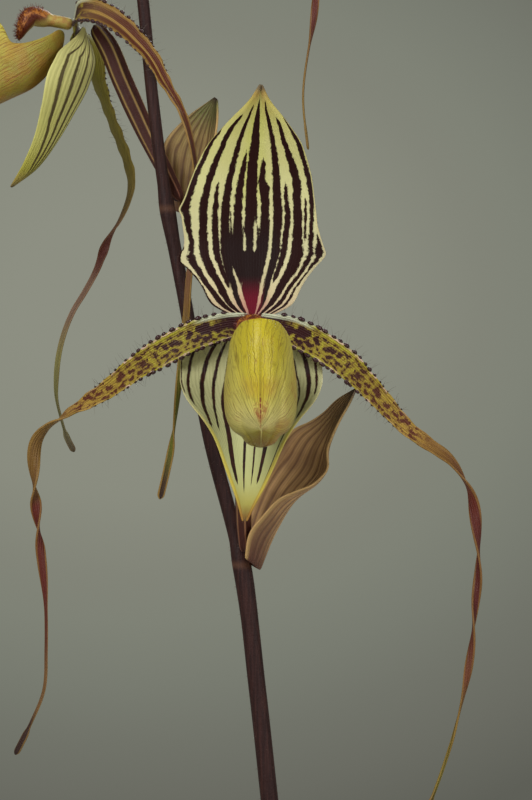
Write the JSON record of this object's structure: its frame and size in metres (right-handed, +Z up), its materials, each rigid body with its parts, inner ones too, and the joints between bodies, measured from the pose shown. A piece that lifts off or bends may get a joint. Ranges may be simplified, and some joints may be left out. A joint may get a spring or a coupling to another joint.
{
  "type": "potted slipper orchid",
  "caption": "Slipper orchid in flower in a plain clay pot: fan of strap leaves and a leaning scape of long-petalled blooms, resting on the pot's flat foot.",
  "frame": {"origin": "centre of the pot's foot, on the surface it stands on", "axes": "+Z up, -Y towards the side that the front bloom faces, +X to the viewer's right"},
  "size_m": [0.4965, 0.2085, 0.697],
  "materials": {
    "clay": "unglazed terracotta, matt, with faint lime bloom",
    "bark": "moist fir bark chips, matt",
    "root": "felted brown root hair, matt",
    "scape": "dark maroon skin under fine pale hair",
    "leaf": "thick smooth plain green leaf, soft gloss",
    "bract": "tan and brown with darker parallel veins, cream rolled edge",
    "ovary": "brown maroon with paler ribs, finely hairy",
    "sepal": "pale yellow green with dark maroon stripes, satin",
    "petal": "yellow green with maroon blotches, warts and hairs, running to a copper brown tail",
    "pouch": "waxy yellow with green veins and red flecks, soft gloss",
    "column": "pale yellow, dark red and hairy at its end"
  },
  "bodies": {
    "root": {"pot": "clay", "bark_mix": "bark", "crown_and_roots": "root", "scape": "scape", "leaf_1": "leaf", "leaf_2": "leaf", "leaf_3": "leaf", "leaf_4": "leaf", "leaf_5": "leaf", "leaf_6": "leaf", "leaf_7": "leaf", "bract_a": "bract", "bract_b": "bract", "bract_c": "bract", "bloom_a_ovary": "ovary", "bloom_a_dorsal_sepal": "sepal", "bloom_a_synsepal": "sepal", "bloom_a_petal_left": "petal", "bloom_a_petal_right": "petal", "bloom_a_pouch": "pouch", "bloom_a_column": "column", "bloom_b_ovary": "ovary", "bloom_b_dorsal_sepal": "sepal", "bloom_b_synsepal": "sepal", "bloom_b_petal_left": "petal", "bloom_b_petal_right": "petal", "bloom_b_pouch": "pouch", "bloom_b_column": "column", "bloom_c_ovary": "ovary", "bloom_c_dorsal_sepal": "sepal", "bloom_c_synsepal": "sepal", "bloom_c_petal_left": "petal", "bloom_c_petal_right": "petal", "bloom_c_pouch": "pouch", "bloom_c_column": "column"}
  },
  "joints": []
}
